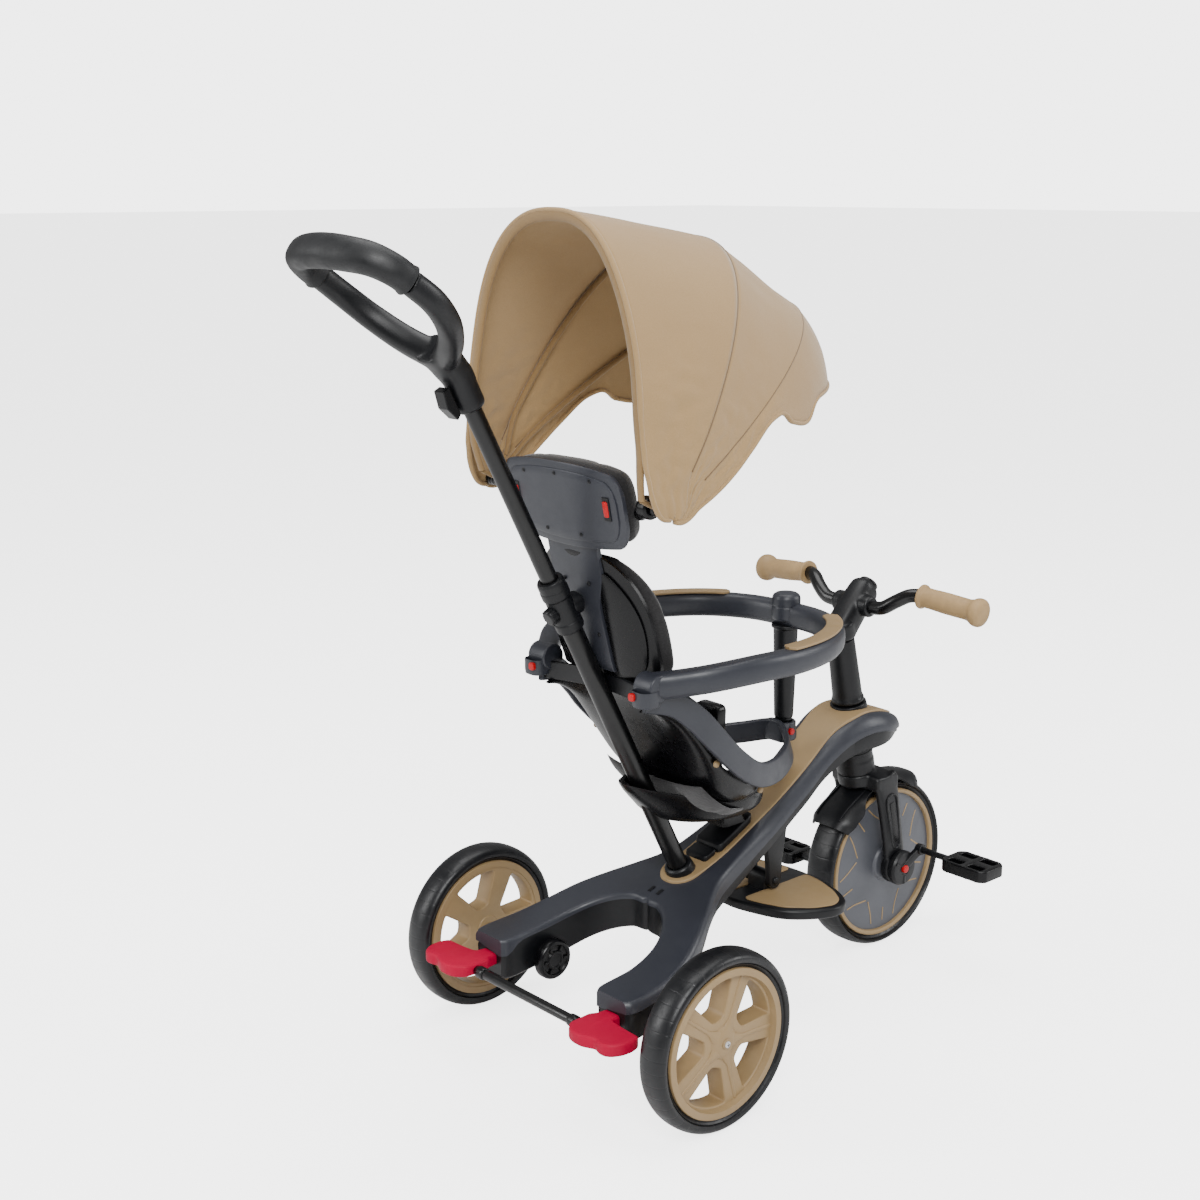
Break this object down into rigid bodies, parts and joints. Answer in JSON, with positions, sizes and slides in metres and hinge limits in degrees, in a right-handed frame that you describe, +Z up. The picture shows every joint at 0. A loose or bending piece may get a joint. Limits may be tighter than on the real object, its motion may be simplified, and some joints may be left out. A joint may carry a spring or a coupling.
{
  "type": "childrens push tricycle",
  "caption": "Child's pedal tricycle with parent push handle, guard ring, bucket seat, head rest and folding sun canopy.",
  "frame": {"origin": "bottom centre of the whole object's bounding box, on the ground between the front and rear wheels", "axes": "+X forward, +Y to the rider's left, +Z up"},
  "size_m": [1.0521, 0.49, 1.0569],
  "materials": {
    "slate_plastic": "satin",
    "tan_plastic": "satin",
    "black_plastic": "satin",
    "gloss_black": "gloss",
    "wheel_rubber": "matte",
    "disc_plastic": "satin",
    "crimson_plastic": "satin",
    "red_plastic": "gloss",
    "black_tube": "gloss",
    "canopy_fabric": "woven",
    "pad_fabric": "matte",
    "grip_rubber": "matte"
  },
  "bodies": {
    "base": {"frame_shell": "slate_plastic", "frame_inlay": "tan_plastic", "head_tube": "black_plastic", "rear_axle_left": "black_plastic", "rear_axle_right": "black_plastic", "footrest_bracket": "black_plastic", "seat_rim": "slate_plastic", "seat_pan": "gloss_black", "seat_cushion": "pad_fabric", "seat_base": "gloss_black", "seat_back_shell": "slate_plastic", "back_cushion": "pad_fabric", "back_bracket": "black_plastic", "harness_buckle": "gloss_black", "push_tube_lower": "black_tube"},
    "steering": {"fork": "black_plastic", "fender": "black_plastic", "steering_column": "black_plastic", "stem": "black_plastic", "handlebar": "black_tube", "grip_left": "grip_rubber", "grip_right": "grip_rubber"},
    "crankset": {"crank": "black_plastic"},
    "clutch": {"clutch_button": "red_plastic"},
    "front_wheel": {"front_tyre": "wheel_rubber", "front_rim": "tan_plastic", "front_disc": "disc_plastic"},
    "left_pedal": {"pedal_left": "gloss_black"},
    "right_pedal": {"pedal_right": "gloss_black"},
    "left_rear_wheel": {"rear_tyre_left": "wheel_rubber", "rear_rim_left": "tan_plastic"},
    "right_rear_wheel": {"rear_tyre_right": "wheel_rubber", "rear_rim_right": "tan_plastic"},
    "parking_brake": {"brake_bar": "black_tube", "brake_pedal_left": "crimson_plastic", "brake_pedal_right": "crimson_plastic"},
    "footrest": {"footrest_plate": "black_plastic"},
    "push_handle": {"push_tube_upper": "black_tube", "handle_yoke": "black_plastic", "handle_grip": "wheel_rubber"},
    "length_clip": {"handle_clip": "black_plastic"},
    "headrest": {"headrest_shell": "slate_plastic", "headrest_cushion": "pad_fabric", "canopy_arm_left": "black_plastic", "canopy_arm_right": "black_plastic", "canopy_rib_rear": "gloss_black", "canopy_panel_rear": "canopy_fabric"},
    "left_headrest_button": {"headrest_button_left": "red_plastic"},
    "right_headrest_button": {"headrest_button_right": "red_plastic"},
    "canopy_middle": {"canopy_rib_mid": "gloss_black", "canopy_panel_front": "canopy_fabric"},
    "canopy_front": {"canopy_rib_front": "gloss_black", "canopy_visor": "canopy_fabric"},
    "guard": {"guard_ring": "slate_plastic", "guard_pad_left": "tan_plastic", "guard_pad_right": "tan_plastic", "guard_post": "slate_plastic"},
    "left_ring_button": {"ring_button_left": "red_plastic"},
    "right_ring_button": {"ring_button_right": "red_plastic"},
    "post_release": {"post_button": "red_plastic"}
  },
  "joints": [
    {"name": "steer", "type": "hinge", "parent": "base", "child": "steering", "pos_m": [0.3564, 0, 0.256], "axis": [-0.2078, 0, 0.9782], "range_deg": [-35, 35]},
    {"name": "crank_spin", "type": "hinge", "parent": "steering", "child": "crankset", "pos_m": [0.401, 0, 0.125], "axis": [0, 1, 0], "continuous": true},
    {"name": "clutch_press", "type": "slide", "parent": "crankset", "child": "clutch", "axis": [0, 1, 0], "range_m": [0, 0.002], "stiffness_N_per_m": 30},
    {"name": "front_wheel_spin", "type": "hinge", "parent": "steering", "child": "front_wheel", "pos_m": [0.401, 0, 0.125], "axis": [0, 1, 0], "continuous": true},
    {"name": "left_pedal_spin", "type": "hinge", "parent": "crankset", "child": "left_pedal", "pos_m": [0.3756, 0.154, 0.1], "axis": [0, 1, 0], "continuous": true},
    {"name": "right_pedal_spin", "type": "hinge", "parent": "crankset", "child": "right_pedal", "pos_m": [0.4264, -0.154, 0.15], "axis": [0, 1, 0], "continuous": true},
    {"name": "left_rear_spin", "type": "hinge", "parent": "base", "child": "left_rear_wheel", "pos_m": [-0.1516, 0.223, 0.111], "axis": [0, 1, 0], "continuous": true},
    {"name": "right_rear_spin", "type": "hinge", "parent": "base", "child": "right_rear_wheel", "pos_m": [-0.1516, -0.223, 0.111], "axis": [0, 1, 0], "continuous": true},
    {"name": "brake_press", "type": "hinge", "parent": "base", "child": "parking_brake", "pos_m": [-0.2096, 0, 0.12], "axis": [0, -1, 0], "range_deg": [0, 10]},
    {"name": "footrest_fold", "type": "hinge", "parent": "base", "child": "footrest", "pos_m": [0.1604, 0, 0.163], "axis": [0, 1, 0], "range_deg": [0, 35]},
    {"name": "handle_length", "type": "slide", "parent": "base", "child": "push_handle", "axis": [-0.464, 0, 0.8858], "range_m": [-0.1, 0]},
    {"name": "clip_open", "type": "hinge", "parent": "push_handle", "child": "length_clip", "pos_m": [-0.36571, 0, 0.86554], "axis": [0, 1, 0], "range_deg": [0, 45]},
    {"name": "headrest_height", "type": "slide", "parent": "base", "child": "headrest", "axis": [-0.2095, 0, 0.9778], "range_m": [0, 0.05]},
    {"name": "left_headrest_press", "type": "slide", "parent": "headrest", "child": "left_headrest_button", "axis": [0.9778, 0, 0.2095], "range_m": [0, 0.002], "stiffness_N_per_m": 30},
    {"name": "right_headrest_press", "type": "slide", "parent": "headrest", "child": "right_headrest_button", "axis": [0.9778, 0, 0.2095], "range_m": [0, 0.002], "stiffness_N_per_m": 30},
    {"name": "canopy_fold", "type": "hinge", "parent": "headrest", "child": "canopy_middle", "pos_m": [-0.1746, 0, 0.73], "axis": [0, -1, 0], "range_deg": [0, 34], "deforming": ["canopy_panel_rear"]},
    {"name": "canopy_front_fold", "type": "hinge", "parent": "canopy_middle", "child": "canopy_front", "pos_m": [-0.1746, 0, 0.73], "axis": [0, -1, 0], "range_deg": [0, 12], "deforming": ["canopy_panel_front"]},
    {"name": "guard_lift", "type": "hinge", "parent": "base", "child": "guard", "pos_m": [-0.1396, 0, 0.509], "axis": [0, -1, 0], "range_deg": [0, 40]},
    {"name": "left_ring_press", "type": "slide", "parent": "base", "child": "left_ring_button", "axis": [1, 0, 0], "range_m": [0, 0.002], "stiffness_N_per_m": 30},
    {"name": "right_ring_press", "type": "slide", "parent": "base", "child": "right_ring_button", "axis": [1, 0, 0], "range_m": [0, 0.002], "stiffness_N_per_m": 30},
    {"name": "post_press", "type": "slide", "parent": "base", "child": "post_release", "axis": [0, 1, 0], "range_m": [0, 0.002], "stiffness_N_per_m": 30}
  ],
  "couplings": [
    {"joint": "front_wheel_spin", "follows": "crank_spin", "ratio": 1},
    {"joint": "canopy_front_fold", "follows": "canopy_fold", "ratio": 0.35}
  ]
}
